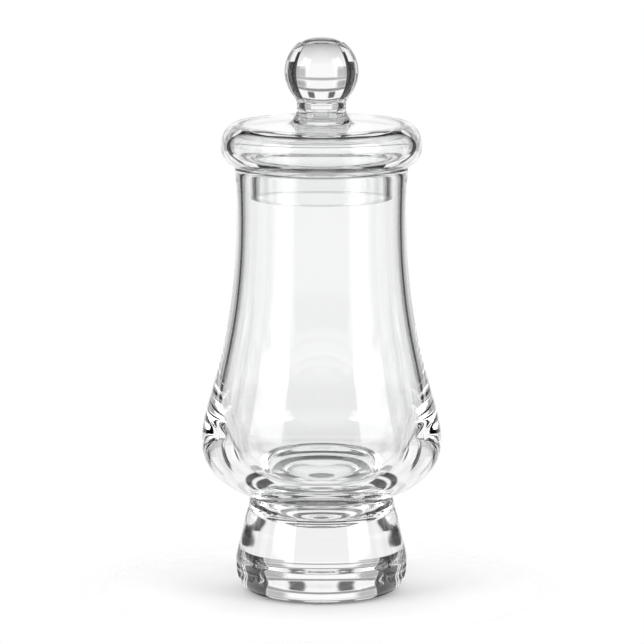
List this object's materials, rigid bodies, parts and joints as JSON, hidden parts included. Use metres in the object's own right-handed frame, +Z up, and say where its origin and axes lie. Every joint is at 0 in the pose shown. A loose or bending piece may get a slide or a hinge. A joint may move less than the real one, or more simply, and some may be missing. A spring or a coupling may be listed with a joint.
{
  "type": "whisky glass",
  "caption": "Tulip-shaped nosing glass whose round-bottomed bowl sits on the dished rim of a thick tapered foot, closed by a loose hollow glass lid with a ball knob and a ring that drops into the mouth.",
  "frame": {"origin": "centre of the foot's underside, on the surface the glass stands on", "axes": "+Z up along the glass's axis of revolution, from the foot to the lid's knob"},
  "size_m": [0.065, 0.065, 0.1506],
  "materials": {
    "bowl_glass": "clear polished",
    "lid_glass": "clear polished"
  },
  "bodies": {
    "glass": {"bowl": "bowl_glass", "foot": "bowl_glass"},
    "lid": {"lid_disc": "lid_glass", "lid_locating_ring": "lid_glass", "lid_knob": "lid_glass"}
  },
  "joints": [
    {"name": "lid_lift", "type": "slide", "parent": "glass", "child": "lid", "axis": [0, 0, 1], "range_m": [0, 0.06]}
  ]
}
